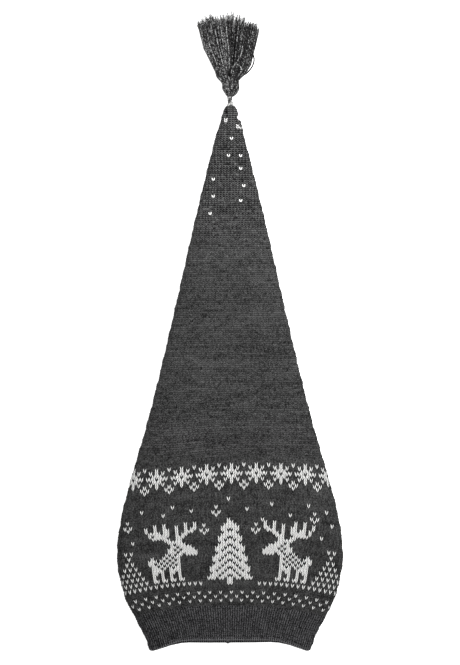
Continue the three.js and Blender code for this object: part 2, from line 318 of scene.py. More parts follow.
# Loose threads of the tassel, as x, distance from the hem and height: a loop beside the skirt on its right,
# a curl that lies on it, and two pale ends that lie along it.
LOOP = (
    (9, 653, 10), (14.5, 655.5, 9.5), (20, 659, 8.8), (25, 665, 8), (27.6, 671, 7.4), (27.9, 676.5, 7),
    (26, 683, 6.4), (24, 688, 6),
)
CURL = (
    (1.5, 656.5, 13), (2.6, 663, 14), (5.2, 667, 14.2), (9, 667.8, 14), (12, 665.6, 13.6), (13, 661.6, 13.4),
    (11.5, 657.6, 13), (8, 655, 12.2),
)
ENDS = (
    ((-0.4, 664, 13), (-0.8, 674, 12.4), (-1.6, 687, 11.2), (-3.4, 700, 10.4), (-4.2, 712, 9.8)),
    ((1.6, 662, 13), (5.4, 668, 13.1), (10.6, 675, 12.6), (13.4, 682, 11.6), (14.4, 690, 10.8)),
)
LOOSE_RADII = ((0.85,), (0.6,), (0.55,), (0.55,))
LOOSE_TONES = (-0.9, 0.72, 0.55, 0.6)

# Painted shade where the strands lie deep, as x, distance from the hem, radius and how much darker it paints
# them: under the parting, inside the curl and between two locks.
HOLLOW_SHADE = ((-2.6, 657, 5, 0.6), (8.2, 662.5, 4.2, 0.5), (8.6, 672, 3, 0.5), (6.5, 690, 5, 0.3), (10, 652, 5, 0.4))

# The tie round the apex, the knot's path as x, distance from the hem and height, and the cord. A ply's tube is
# PLY_SWELL times as thick as its place in the twist, so that neighbours press into each other.
TIE_AT = 622.3
TIE_HEIGHT = 7.1
TIE_HALF_WIDTH = 3.5
TIE_HALF_HEIGHT = 3.1
TIE_TURNS = 1.45
TIE_TILT = 0.42
TIE_CLIMB = 0.8
KNOT = (
    (0.2, 622.2, 10), (1.0, 624.4, 10.8), (2.8, 625.2, 10.6), (3.9, 623.8, 10.2), (2.6, 622.2, 10.9),
    (0.9, 622.9, 11.2), (1.3, 624.9, 10.4), (2.9, 624.2, 11.2), (2.3, 623, 11.6),
)
CORD_RUN = (618.5, 633)
CORD_HEIGHT = 7.4
CORD_TURNS = 2.6
PLY_SWELL = 1.12

# The binding round the tassel's neck: turns, half sizes across and up, and half its run along the tassel.
BINDING_TURNS = 4
BINDING_HALF_SIZE = (8.6, 6.9)
BINDING_HALF_RUN = 1.3

# The floor's half size and drop below the hat, and the height of the hat's outline, in metres. The picture's
# height and the hem's distance from its middle are in pixels, and PIXEL is the millimetres to one.
FLOOR_HALF = 6.0
FLOOR_BELOW = 0.0004
OUTLINE_HEIGHT = 0.012
FRAME_PIXELS = 665
HEM_TO_MIDDLE_PIXELS = 308
PIXEL = 1.16


def smoothstep(value, low, high):
    """Rises from 0 at low to 1 at high, level at both ends."""
    t = np.clip((value - low) / (high - low), 0, 1)
    return t * t * (3 - 2 * t)


def curve_through(knots, values, at):
    """Values at places on a curve through knots: Hermite runs, each knot's slope taken from its neighbours."""
    number = np.arange(len(knots))
    before = np.maximum(number - 1, 0)
    after = np.minimum(number + 1, len(knots) - 1)
    slopes = (values[..., after] - values[..., before]) / (knots[after] - knots[before])
    i = np.clip(np.searchsorted(knots, at, side="right") - 1, 0, len(knots) - 2)
    run = knots[i + 1] - knots[i]
    s = (at - knots[i]) / run
    ends = values[..., i] * (2 * s**3 - 3 * s**2 + 1) + values[..., i + 1] * (3 * s**2 - 2 * s**3)
    return ends + run * (slopes[..., i] * (s**3 - 2 * s**2 + s) + slopes[..., i + 1] * (s**3 - s**2))


def section(at, column):
    """A column of SECTIONS at each distance from the hem."""
    return curve_through(SECTIONS[:, 0], SECTIONS[:, SECTION_COLUMNS.index(column)], np.clip(at, 0, CROWN_END))


STATIONS = np.linspace(0, CROWN_END, 420)
SHARES = np.linspace(0, 1, 241)
FINE = 900


def even_run(x, z):
    """Each row's curve x, z at even shares of its own length, with the unit normal to its left and the lengths."""
    steps = np.hypot(np.diff(x, axis=1), np.diff(z, axis=1))
    along = np.concatenate([np.zeros((len(x), 1)), np.cumsum(steps, axis=1)], axis=1)
    length = along[:, -1]
    rows = 2.0 * np.arange(len(x))[:, None]
    known = (along / length[:, None] + rows).ravel()
    wanted = (SHARES[None, :] + rows).ravel()
    even_x = np.interp(wanted, known, x.ravel()).reshape(len(x), -1)
    even_z = np.interp(wanted, known, z.ravel()).reshape(len(x), -1)
    dx = np.gradient(even_x, axis=1)
    dz = np.gradient(even_z, axis=1)
    run = np.hypot(dx, dz)
    return even_x, even_z, -dz / run, dx / run, length


def skin_tables():
    """Half sections of the skin from the middle to the right fold, front then back, at every station.

    The front is a superellipse, the back a flat run and a quarter ellipse that meets it at the fold.
    """
    half = section(STATIONS, "half")[:, None]
    high = section(STATIONS, "high")[:, None]
    mid = high * EDGE_SHARE
    turn = np.linspace(np.pi / 2, 0, FINE)[None, :]
    across = half * np.maximum(np.cos(turn), 0) ** (2 / DOME_POWER)
    up = mid + (high - mid) * np.sin(turn) ** (2 / DOME_POWER)
    front = even_run(across, up)
    run = np.minimum(FOLD_RUN, half * FOLD_RUN_SHARE)
    flat = (half - run) * np.linspace(0, 1, FINE // 3, endpoint=False)[None, :]
    turn = np.linspace(0, np.pi / 2, FINE)[None, :]
    across = np.concatenate([flat, half - run + run * np.sin(turn)], axis=1)
    up = np.concatenate([np.zeros_like(flat), mid - mid * np.cos(turn)], axis=1)
    x, z, nx, nz, length = even_run(across, up)
    back = (x, z, -nx, -nz, length)
    return [np.stack([front[k], back[k]]) for k in range(5)]


SKIN_X, SKIN_Z, SKIN_NX, SKIN_NZ, SKIN_LENGTH = skin_tables()


def lookup(table, back, at, share):
    """Bilinear value of a skin table for each point."""
    i = np.clip(at / CROWN_END, 0, 1) * (len(STATIONS) - 1)
    j = np.clip(share, 0, 1) * (len(SHARES) - 1)
    i0 = np.minimum(i.astype(int), len(STATIONS) - 2)
    j0 = np.minimum(j.astype(int), len(SHARES) - 2)
    fi = i - i0
    fj = j - j0
    low = table[back, i0, j0] * (1 - fj) + table[back, i0, j0 + 1] * fj
    up = table[back, i0 + 1, j0] * (1 - fj) + table[back, i0 + 1, j0 + 1] * fj
    return low * (1 - fi) + up * fi


def soft_lumps(x, y):
    """Low waves of the cloth, as a sum of a few long sines."""
    waves = (
        (0.031, 0.017, 0.4), (-0.022, 0.033, 2.1), (0.047, 0.041, 4.0), (0.012, -0.052, 1.2), (-0.058, 0.013, 5.2),
    )
    return sum(np.sin(a * x + b * y + c) for a, b, c in waves) / len(waves)


def edge_waves(at, side):
    """Small unevenness of a side fold, as a sum of short sines along it."""
    waves = ((0.71, 0.3, 0.5), (0.43, 1.9, 0.9), (0.193, 4.4, 1.0), (1.31, 2.6, 0.35))
    return sum(size * np.sin(rate * at + start + 2.1 * side) for rate, start, size in waves)


def columns_round():
    """For each column round the hat: its facet of the wale, wale from the middle, side, and 1 on the back."""
    column = np.arange(ROUND)
    quarter, step = np.divmod(column, QUARTER * FACETS)
    wale = np.where(quarter % 2 == 0, step / FACETS, QUARTER - step / FACETS)
    back = ((quarter == 1) | (quarter == 2)).astype(int)
    return column % FACETS, wale, np.where(quarter < 2, 1.0, -1.0), back


FACET, WALE, SIDE, BACK = columns_round()


def on_skin(at, share, depth):
    """Points on the hat's skin for a grid with a point in each column round it, depth millimetres under it.

    share is the way from the middle of a layer to its side fold, and place the way round the section: 0 in
    the middle of the front, a quarter at the right fold and minus a quarter at the left. A course sags towards
    the folds by a power of the distance from the middle, and near the apex the section is drawn in to pleats.
    """
    half = section(at, "half")
    high = section(at, "high")
    x = lookup(SKIN_X, BACK, at, share) - depth * lookup(SKIN_NX, BACK, at, share)
    z = lookup(SKIN_Z, BACK, at, share) - depth * lookup(SKIN_NZ, BACK, at, share)
    place = SIDE * np.where(BACK == 1, 0.5 - 0.25 * share, 0.25 * share)
    drawn = smoothstep(at, GATHER_START, CROWN_END)
    wave = 0.5 - 0.5 * np.cos(2 * np.pi * GATHER_COUNT * place)
    crease = np.exp(-((place - CREASE_WAY_ROUND) / CREASE_SPREAD) ** 2)
    deep = GATHER_DEPTH + (CREASE_DEPTH - GATHER_DEPTH) * crease
    beside = smoothstep(np.abs(place), *LOBE_FROM) * smoothstep(-np.abs(place), *LOBE_TO)
    lobe = np.where(SIDE > 0, np.interp(at, LOBE_AT, LOBE_RIGHT), np.interp(at, LOBE_AT, LOBE_LEFT))
    keep = 1 - deep * wave * drawn + lobe * beside
    mid = high * EDGE_SHARE
    x = x * keep
    z = mid + (z - mid) * keep
    across = np.clip(np.abs(x) / half, 0, 1)
    hem = 1 - smoothstep(at, 0, HEM_SHAPE_END)
    drop = np.interp(across, HEM_SHARE, HEM_DROP)
    sag = (1 - hem) * section(at, "sag") * across**SAG_POWER + hem * drop
    near_hem = (1 - smoothstep(at, 0, HEM_DRAWN_TO)) * (1 - across**4)
    seam = SEAM_END[2] * np.exp(-(((SIDE * x - SEAM_END[0]) / SEAM_END[1]) ** 2))
    seam = seam * (1 - smoothstep(at, 0, SEAM_UP))
    behind = section(at, "back") * (1 - across**2) + (BACK_HEM - BACK_HEM_TILT * SIDE * across) * near_hem
    hang = BACK * (behind + seam) - (1 - BACK) * FRONT_HEM * near_hem
    z = z + np.maximum(section(at, "lift"), 0)
    flat = (1 - BACK) * (1 - share**2) * smoothstep(half, *LUMPS_BY_HALF_WIDTH)
    z = z + LUMP_HEIGHT * soft_lumps(SIDE * x, at) * flat
    x = x + EDGE_WOBBLE * across**EDGE_WOBBLE_POWER * edge_waves(at, SIDE)
    return np.stack([SIDE * x, HEM_Y + at - sag - hang, z], axis=-1)


def wale_share(wale, at):
    """Share of the way to the fold of a wale counted from the middle.

    Low down the wales fill the width. Above, they keep their pitch and end at the folds.
    """
    length = np.interp(at, STATIONS, SKIN_LENGTH[0])
    grown = smoothstep(at, DECREASES_FROM, DECREASES_FULL)
    pitch = (1 - grown) * length / QUARTER + grown * CONE_PITCH
    return wale * pitch / length


def course_edges(low, high):
    """Lower edges of the courses between two distances, the pitch taken from the table as it goes."""
    edges = [low]
    while edges[-1] < high:
        edges.append(edges[-1] + np.interp(edges[-1], COURSE_AT, COURSE_PITCH))
    edges = np.array(edges[:-1] if high - edges[-2] < edges[-1] - high else edges)
    return low + (edges - low) * (high - low) / (edges[-1] - low)


def course_slide(at, share):
    """How far a place on a course lies below its level: by table on the front, evenly across the back."""
    front = np.interp(SIDE * share, SLIDE_SHARE, SLIDE_DROP)
    behind = np.interp(SIDE * share, (-1, 1), (SLIDE_DROP[0], SLIDE_DROP[-1]))
    drop = front + (behind - front) * BACK
    return drop * np.interp(at, SLIDE_AT, (0, 1, 1, 0))


def slant_at(at):
    """Height of the slant of a stitch's legs, in millimetres."""
    return np.interp(at, SLANT_AT, SLANT) * np.interp(at, COURSE_AT, COURSE_PITCH)


def grid_index(at):
    """Vertex number of each grid place: places past a side fold all take the fold's own vertex."""
    index = np.arange(at.size).reshape(at.shape)
    past = wale_share(WALE, at) >= 1 - 1e-6
    return np.where(past, index[:, :1] + np.where(SIDE > 0, *FOLD_COLUMNS), index)


def two_triangles(a, b, c, d):
    """The two triangles of every cell, from its four corners."""
    return np.stack([np.stack([a, d, c], axis=2), np.stack([a, c, b], axis=2)], axis=2)


def in_chart(chart, row_up, column):
    """Whether a chart, whose lowest row is row 0, marks a place. Outside it nothing is marked."""
    rows = np.array([[mark == "#" for mark in line] for line in chart])[::-1]
    inside = (row_up >= 0) & (row_up < rows.shape[0]) & (column >= 0) & (column < rows.shape[1])
    return inside & rows[np.clip(row_up, 0, rows.shape[0] - 1), np.clip(column, 0, rows.shape[1] - 1)]


def in_tree(row_up, column, rows):
    """A fir of tiers: its half width falls evenly towards the top and steps out at the foot of each tier."""
    tier, step = np.divmod(rows - 1 - row_up, 4)
    half = 1 + tier + step * 0.75
    branch = (row_up >= 2) & (row_up < rows) & (column + 0.5 <= half)
    gaps = ((row_up + column) % 3 == 0) & (column + 1.5 <= half)
    trunk = (row_up >= 0) & (row_up < 2) & (column < 1)
    return (branch & ~gaps) | trunk


def in_bush(row_up, column, rows):
    """A small rounded fir of spaced stitches: every other place under a sloping edge."""
    half = 1.2 + (rows - 1 - row_up) * 0.34
    spaced = (row_up % 2 == 0) & ((row_up // 2 + column) % 2 == 0)
    return (row_up >= 0) & (row_up < rows) & (np.abs(column) <= half) & spaced


def white_stitches(edges):
    """The white yarn of each stitch, by course and by wale round the hat: 0 is none, 1 white, and FULL_WHITE."""
    middle = (edges[1:] + edges[:-1]) / 2 + slant_at(edges[:-1]) / 2
    course = np.arange(len(middle))[:, None]
    wale = np.arange(4 * QUARTER)[None, :]
    local = (wale + QUARTER) % (2 * QUARTER) - QUARTER
    aside = np.where(local >= 0, local, -1 - local)

    def nearest(at):
        return int(np.argmin(np.abs(middle - at)))

    def single(spots):
        return sum((course == nearest(at)) & (local == spot) for spot, at in spots) > 0

    white = single(SNOW + APEX_SNOW)
    for row, shift in DOT_ROWS:
        white |= (course == row) & ((wale - shift) % 4 == 0)
    star_row = course - (nearest(STAR_CENTRE_AT) - STAR_ROWS_BELOW)
    white |= in_chart(STAR, star_row, (wale + 4) % 8)
    white |= (star_row == len(STAR) - 1) & (wale % 8 == 4)
    base = course - nearest(PICTURE_AT)
    white |= in_chart(REINDEER, base - 2, aside - REINDEER_FROM)
    white |= in_tree(base, aside, TREE_ROWS)
    white |= in_bush(base, aside - BUSH_FROM, BUSH_ROWS)
    white |= (base == 0) & (aside > GROUND_WALES[0]) & (aside < GROUND_WALES[1]) & (aside % 2 == 0)
    for spot, at in DIAMONDS:
        white |= in_chart(DIAMOND, course - nearest(at) + 1, local - spot + 1)
    return np.where(single(HIGH_SNOW), FULL_WHITE, white)


def stitch_jitter(rows, seed, amount):
    """A small random number for each course and wale, spread over the grid's rows and columns."""
    rng = np.random.default_rng(seed)
    values = rng.normal(0, amount, (rows // 2 + 1, 4 * QUARTER))
    return np.repeat(np.repeat(values, 2, axis=0)[:rows], FACETS, axis=1)


def knit_grid(edges, relief, seed):
    """Outer skin of a knitted tube, with a row on each course's lower edge and one in its middle.

    Each wale's four columns and each course's two rows lie at their own depth under the skin. The columns of
    a wale are also shifted up from its middle to its sides, which turns the two halves of every stitch into
    slanted legs.
    """
    rows = np.empty(2 * len(edges) - 1)
    rows[0::2] = edges
    rows[1::2] = (edges[1:] + edges[:-1]) / 2
    size = len(rows)
    free = (smoothstep(rows, 0, 6) * (1 - smoothstep(rows, CROWN_END - 8, CROWN_END)))[:, None]
    at = rows[:, None] + free * slant_at(rows)[:, None] * (np.abs(FACET / FACETS - 0.5) * 2)
    depth = relief[np.arange(size) % 2][:, FACET] * (1 + stitch_jitter(size, seed, STITCH_JITTER))
    depth = depth * np.interp(rows, (RELIEF_FADES_FROM, CROWN_END), (1, 0.5))[:, None]
    inner = (FACET != 0) & ((rows > edges[0]) & (rows < edges[-1]))[:, None]
    at = at + inner * stitch_jitter(size, seed + 1, STITCH_JITTER)
    index = grid_index(at)
    share = np.minimum(wale_share(WALE + inner * stitch_jitter(size, seed + 2, WALE_JITTER), at), 1)
    at = np.maximum(at - free * course_slide(at, share), 0)
    return on_skin(at, share, depth), index


def plain_grid(rows, depth):
    """A smooth ring grid under the skin, on the same columns as the knitting."""
    at = np.broadcast_to(rows[:, None], (len(rows), ROUND))
    return on_skin(at, np.minimum(wale_share(WALE, at), 1), depth), grid_index(at)


class Cloth:
    """A mesh put together from ring grids. Each face keeps its yarn, its tone and its place in the knitting.

    The place is kept as a UV map in stitches: wales round the hat, and courses up it.
    """

    def __init__(self):
        self.points = []
        self.parts = []
        self.count = 0

    def add_points(self, points, index):
        """Adds a grid's points and gives back its index, counted from the mesh's first point."""
        moved = index + self.count
        self.points.append(points.reshape(-1, 3))
        self.count += points.size // 3
        return moved

    def add_faces(self, index, courses, yarn=0, tone=0.5, flip=False):
        """Adds the cells between the rows of a ring grid, but not those that a side fold has shut.

        courses is each row's height in stitches. yarn and tone are for each cell, or the same for all.
        """
        index = np.stack(index)
        after = np.roll(index, -1, axis=1)
        faces = two_triangles(index[:-1], after[:-1], after[1:], index[1:])
        place = np.stack(np.meshgrid(np.arange(ROUND + 1) / FACETS, courses), axis=-1)
        places = two_triangles(place[:-1, :-1], place[:-1, 1:], place[1:, 1:], place[1:, :-1])
        yarn, tone = (np.broadcast_to(np.asarray(value)[..., None], faces.shape[:3]) for value in (yarn, tone))
        kept = (faces != np.roll(faces, 1, axis=3)).all(axis=3)
        step = -1 if flip else 1
        self.parts.append((faces[kept][:, ::step], places[kept][:, ::step], yarn[kept], tone[kept]))

    def add_cap(self, ring, middle):
        """A fan from a ring to one point in the middle of it."""
        centre = self.add_points(middle, 0)
        after = np.roll(ring, -1)
        keep = ring != after
        size = keep.sum()
        faces = np.stack([ring[keep], np.full(size, centre), after[keep]], axis=1)
        self.parts.append((faces, np.zeros((size, 3, 2)), np.zeros(size), np.full(size, CAP_TONE)))

    def build(self, name, *materials):
        """Makes the piece, from the points that a face uses."""
        faces, places, yarns, tones = (np.concatenate(values) for values in zip(*self.parts))
        used, faces = np.unique(faces, return_inverse=True)
        points = np.concatenate(self.points)[used]
        return new_piece(name, points, faces.reshape(-1, 3), materials, tones, places, yarns)


def new_object(name, data):
    """Puts an object with this mesh, light or camera into the scene."""
    made = bpy.data.objects.new(name, data)
    bpy.context.scene.collection.objects.link(made)
    return made


def new_piece(name, points, faces, materials, tones, places, yarns=None):
    """A mesh object from points in millimetres, with each face's tone and yarn and a UV place for its corners."""
    mesh = bpy.data.meshes.new(name)
    mesh.from_pydata(points * MM, [], faces)
    for material in materials:
        mesh.materials.append(material_named(material))
    if yarns is not None:
        mesh.polygons.foreach_set("material_index", yarns.astype(np.int32))
    layer = mesh.attributes.new("tone", "FLOAT", "FACE")
    layer.data.foreach_set("value", tones.astype(np.float32))
    mesh.uv_layers.new(name="yarn").uv.foreach_set("vector", places.astype(np.float32).ravel())
    mesh.shade_smooth()
    mesh.update()
    return new_object(name, mesh)


def dress(piece, slot, *nodes):
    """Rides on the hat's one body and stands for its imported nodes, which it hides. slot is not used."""
    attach(piece, "root")
    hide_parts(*nodes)


def leg_tones(edges, seed, streaks=0.036, chance=0.05, bands=0.02):
    """Tone of the two legs of every stitch, spread over their cells.

    It adds a trend along the hat, a tone for each course, streaks that run some stitches along a course, broad
    bands over a few courses, a small chance for each leg that grows towards the apex, painted shade on one leg
    in the deep crease, and painted shade and light on the lower and upper half of each course there.
    """
    rng = np.random.default_rng(seed)
    low = edges[:-1]
    trend = np.interp(low, TONE_AT, TONE_TREND)[:, None]
    course = rng.normal(0, streaks * 0.35, (len(low), 1))
    streak, rough, broad = rng.normal(0, 1, (3, len(low), 8 * QUARTER))
    streak = sum(np.roll(streak, k, axis=1) for k in range(STREAK)) / np.sqrt(STREAK)
    rough = chance * (1 + ROUGHER * smoothstep(low, *ROUGH_BETWEEN))[:, None] * rough
    broad = sum(np.roll(broad, k, axis=1) for k in range(BAND_LEGS))
    broad = sum(np.roll(broad, k, axis=0) for k in range(BAND_COURSES)) / np.sqrt(BAND_LEGS * BAND_COURSES)
    legs = np.clip(trend + course + streaks * streak + rough + bands * broad, -0.2, 1.2)
    # Painted shade in the deep crease at the apex: one leg of each course there is darkened.
    legs[low > CREASE_SHADE_FROM, CREASE_LEG] -= CREASE_PAINTED_SHADE
    # Painted shade on each course's lower half and painted light on its upper half.
    arc_shading = np.interp(low, ARC_AT, ARC_LIGHT_AND_SHADE)[:, None, None] * np.array([-1, 1])[:, None]
    legs = (legs[:, None] + arc_shading).reshape(-1, 8 * QUARTER)
    return np.repeat(legs, FACETS // 2, axis=1)


def crown_part(edges, first, white, closed, seed):
    """A length of the crown: knitted outside, plain inside, with its two ends shut."""
    cloth = Cloth()
    points, index = knit_grid(edges, KNIT_RELIEF, seed)
    top = points[-1].mean(axis=0)
    outer = cloth.add_points(points, index)
    rng = np.random.default_rng(seed + 8)
    gathered = rng.random(white.shape) < smoothstep(edges[:-1], GATHERED_FROM, GATHERED_FULL)[:, None]
    yarns = np.where(white, white, GATHERED * gathered)
    cells = np.repeat(np.repeat(yarns, 2, axis=0), FACETS, axis=1)
    tones = leg_tones(edges, seed + 5) + GATHERED_PALER * (cells == GATHERED)
    cloth.add_faces(outer, first + np.arange(len(outer)) / 2, cells, tones)
    last = CAVITY_END if closed else edges[-1]
    inside = np.linspace(edges[0], last, int((last - edges[0]) / LINING_STEP))
    thin = np.interp(inside, (LINING_THINS_FROM, CAVITY_END), (1, 0.8))
    points, index = plain_grid(inside, WALL * thin[:, None])
    inner = cloth.add_points(points, index)
    cloth.add_faces(inner, inside / LINING_COURSE, flip=True)
    cloth.add_faces((inner[0], outer[0]), (0, 1))
    if closed:
        cloth.add_cap(outer[-1], top + (0, APEX_RISE, 0))
        cloth.add_cap(inner[-1][::-1], points[-1].mean(axis=0))
    else:
        cloth.add_faces((outer[-1], inner[-1]), (0, 1))
    return cloth


def ribbed_band():
    """The band: rib columns outside, a rolled hem, and ribs again inside.

    The hem's rows turn through an arc: their depth follows one less the cosine, and their drop the sine.
    """
    cloth = Cloth()
    edges = course_edges(0, BAND_HEIGHT)
    outer = cloth.add_points(*knit_grid(edges, RIB_RELIEF, 40))
    courses = np.arange(len(outer)) / 2
    tones = leg_tones(edges, 45, 0.015, 0.04, 0.01)
    # Painted highlight: the band's first row is made paler along the turned edge.
    tones[:1] += HEM_ROW_HIGHLIGHT
    cloth.add_faces(outer, courses, tone=tones)
    turn = np.radians([35, 75, 115, 150])[:, None]
    groove = HEM_GROOVE * (FACET == 0) * np.cos(turn / 2) ** 2
    points, index = plain_grid(np.zeros(len(turn)), WALL * (0.5 - 0.5 * np.cos(turn)) + groove)
    points[..., 1] -= HEM_ROLL * np.sin(turn)
    rolled = cloth.add_points(points, index)
    inner = cloth.add_points(*plain_grid(edges, WALL + INNER_RIBS[FACET]))
    # The rolled hem's tone is a painted highlight on the turned edge.
    cloth.add_faces((rolled[0], outer[0]), (-0.2, 0), tone=HEM_HIGHLIGHT_TONE)
    cloth.add_faces(rolled, np.linspace(-0.2, -1, len(turn)), tone=HEM_HIGHLIGHT_TONE, flip=True)
    cloth.add_faces((inner[0], rolled[-1]), (-1.2, -1))
    cloth.add_faces(inner, courses[::2], flip=True)
    cloth.add_faces((outer[-1], inner[-1]), (0, 1))
    return cloth


def frames(paths, reference):
    """Unit directions at each step of a path or of many: ahead, across and up from it."""
    ahead = np.gradient(paths, axis=-2)
    ahead /= np.linalg.norm(ahead, axis=-1, keepdims=True)
    across = np.cross(ahead, np.asarray(reference, float))
    across /= np.linalg.norm(across, axis=-1, keepdims=True)
    return ahead, across, np.cross(across, ahead)


def tube_faces(place, after, first, last):
    """Corners of a tube's faces, from values at its grid, at each next column and at its two poles."""
    corners = (
        (place[:-1], after[:-1], after[1:]), (place[:-1], after[1:], place[1:]),
        (first, after[0], place[0]), (last, place[-1], after[-1]),
    )
    return np.concatenate([np.stack(np.broadcast_arrays(*each), axis=-1).reshape(-1, 3) for each in corners])


def tubes(paths, radii, sides, reference):
    """Round tubes along many paths at once, closed at both ends.

    paths is strands by steps by 3. A section is a regular polygon square to the path, and the ends close on
    a point half a radius further out.
    """
    strands, steps, _ = paths.shape
    ahead, across, up = frames(paths, reference)
    turn = np.linspace(0, 2 * np.pi, sides, endpoint=False)[:, None]
    rings = across[:, :, None] * np.cos(turn) + up[:, :, None] * np.sin(turn)
    rings = paths[:, :, None] + rings * radii[:, :, None, None]
    first = paths[:, 0] - ahead[:, 0] * radii[:, :1] * 0.5
    last = paths[:, -1] + ahead[:, -1] * radii[:, -1:] * 0.5
    points = np.concatenate([rings.reshape(strands, -1, 3), first[:, None], last[:, None]], axis=1)
    place = np.arange(steps * sides).reshape(steps, sides)
    one = tube_faces(place, np.roll(place, -1, axis=1), place.size, place.size + 1)
    faces = one[None] + (np.arange(strands) * points.shape[1])[:, None, None]
    run = np.cumsum(np.linalg.norm(np.diff(paths, axis=1, prepend=paths[:, :1]), axis=2), axis=1)
    along = np.concatenate([np.repeat(run, sides, axis=1), run[:, :1], run[:, -1:]], axis=1)
    near, past = (np.tile((np.arange(sides) + k) / sides, (steps, 1)) for k in (0, 1))
    around = np.tile(tube_faces(near, past, near[0], near[0]), (strands, 1, 1))
    places = np.stack([around, along[:, one]], axis=-1)
    return points.reshape(-1, 3), faces.reshape(-1, 3), places.reshape(-1, 3, 2)


def twisted_piece(name, path, yarn, turns, reference, material, tones=(0.45, 0.75)):
    """A piece of plies wound round each other along a path, one for each tone. yarn is a ply's radius."""
    _, across, up = frames(path, reference)
    turn = np.linspace(0, 2 * np.pi * turns, len(path))[:, None]
    yarn = np.broadcast_to(yarn, (len(path),))[:, None]
    starts = np.arange(len(tones)) * 2 * np.pi / len(tones)
    paths = np.stack([path + yarn * (across * np.cos(turn + k) + up * np.sin(turn + k)) for k in starts])
    points, faces, places = tubes(paths, np.broadcast_to(yarn[:, 0] * PLY_SWELL, paths.shape[:2]), 8, reference)
    return new_piece(name, points, faces, [material], np.repeat(tones, len(faces) // len(tones)), places)


def tassel_envelope(at, way):
    """Centre and half sizes of the tassel at a distance: its side is taken by the sign of way."""
    left = np.interp(at, TASSEL_AT, TASSEL_LEFT)
    right = np.interp(at, TASSEL_AT, TASSEL_RIGHT)
    wide = np.where(way < 0, left, right)
    high = np.interp(at, TASSEL_AT, TASSEL_HIGH)
    centre = np.interp(at, SINKS_BETWEEN, (AXIS_HEIGHT, SKIRT_HEIGHT))
    return wide, high, centre


def tassel_paths(rng, turn, reach, first):
    """Paths of the strands.

    Down to the neck each keeps its place in the head's oval section. Past the neck it takes its own share of
    the skirt's width, which is less near the neck for a middle strand. There it waves slowly, and parts from
    its neighbours in front just above the neck.
    """
    count = len(turn)
    way = reach * np.cos(turn)
    rise = reach * np.sin(turn)
    end = np.interp(way, TIP_WAY, TIP_AT) + rng.normal(0, TIP_UNEVEN, count)
    end = end + TIP_LONGER * rng.random(count) ** 6 - TIP_SHORTER * rng.random(count) ** 4
    at = first + (end[:, None] - first) * np.linspace(0, 1, STRAND_STEPS)[None, :]
    free = smoothstep(at, NECK_AT + 1, max(TIP_AT))
    tip = np.sin(np.pi / 2 * np.clip(way + rng.normal(0, STRAY, count), -1, 1))[:, None]
    wide, high, centre = tassel_envelope(at, tip)
    gone = np.clip((at - NECK_AT) / (end[:, None] - NECK_AT), 0, 1)
    fan = tip * wide * (1 - DRAWN_IN * (1 - gone) * (1 - np.abs(tip)))
    neck, *_ = tassel_envelope(np.minimum(at, NECK_AT), way[:, None])
    leave = smoothstep(at, NECK_AT - 3, NECK_AT + 5)
    wave, lift = (
        np.sin(at / rng.uniform(*length, count)[:, None] + rng.uniform(0, 6.3, count)[:, None])
        for length in ((7, 14), (6, 12))
    )
    past = fan + SHOULDER * way[:, None] * (1 - gone) ** 3
    x = (1 - leave) * way[:, None] * neck + leave * past + wave * WAVE_ASIDE * free
    z = centre + rise[:, None] * high + lift * WAVE_UP * free
    top = smoothstep(rise, 0.2, 0.7)[:, None]
    along = np.exp(-((at - PARTING_AT) / PARTING_LONG) ** 2)
    parting = along * np.exp(-((x - PARTING_X) / PARTING_ACROSS) ** 2) * top
    x = x + np.where(x < PARTING_X, -PARTING_WIDE, PARTING_WIDE) * parting
    z = z - PARTING_DEEP * parting
    return np.stack([x, HEM_Y + at, np.maximum(z, 0.7)], axis=-1)


def smooth_path(points, steps):
    """A curve through a few points, on even steps and back in the scene's frame."""
    last = len(points) - 1
    path = curve_through(np.arange(last + 1), np.array(points, float).T, np.linspace(0, last, steps)).T
    return path + (0, HEM_Y, 0)


def strand_piece(name, paths, radii, sides, tones, material, hollow_shade=HOLLOW_SHADE):
    """A piece of many strands, each with its own tone, with painted shade where the strands lie deep, by the
    distance from each such place.
    """
    points, faces, places = tubes(paths, np.broadcast_to(radii, paths.shape[:2]), sides, (0, 0, 1))
    middle = (paths[:, 1:] + paths[:, :-1]) / 2 - (0, HEM_Y, 0)
    shade = np.broadcast_to(np.asarray(tones, float)[:, None], middle.shape[:2])
    # Painted shade: strands are darkened near each place where they lie deep.
    for x, at, radius, depth in hollow_shade:
        away = ((middle[..., 0] - x) ** 2 + (middle[..., 1] - at) ** 2) / radius**2
        shade = shade - depth * np.exp(-away)
    wall = np.repeat(shade, sides, axis=1)
    ends = np.repeat(shade[:, [0, -1]], sides, axis=1)
    tones = np.concatenate([wall, wall, ends], axis=1).ravel()
    return new_piece(name, points, faces, [material], tones, places)


def node(tree, kind, sockets=None, **settings):
    """Adds a node, sets its own settings, then fills or links its inputs."""
    made = tree.nodes.new(kind)
    for key, value in settings.items():
        setattr(made, key, value)
    for key, value in (sockets or {}).items():
        if isinstance(value, bpy.types.NodeSocket):
            tree.links.new(value, made.inputs[key])
        else:
            made.inputs[key].default_value = value
    return made


def new_group(name, inputs, *outputs):
    """An empty shader group, its inputs' and its outputs' sockets. An input's kind shows in its default."""
    group = bpy.data.node_groups.new(name, "ShaderNodeTree")
    for socket, default in inputs.items():
        kind = "Vector" if default is None else "Color" if isinstance(default, tuple) else "Float"
        made = group.interface.new_socket(socket, in_out="INPUT", socket_type="NodeSocket" + kind)
        if default is not None:
            made.default_value = default
    for socket in outputs:
        kind = "Color" if socket == "Color" else "Float"
        group.interface.new_socket(socket, in_out="OUTPUT", socket_type="NodeSocket" + kind)
    return group, group.nodes.new("NodeGroupInput").outputs, group.nodes.new("NodeGroupOutput").inputs


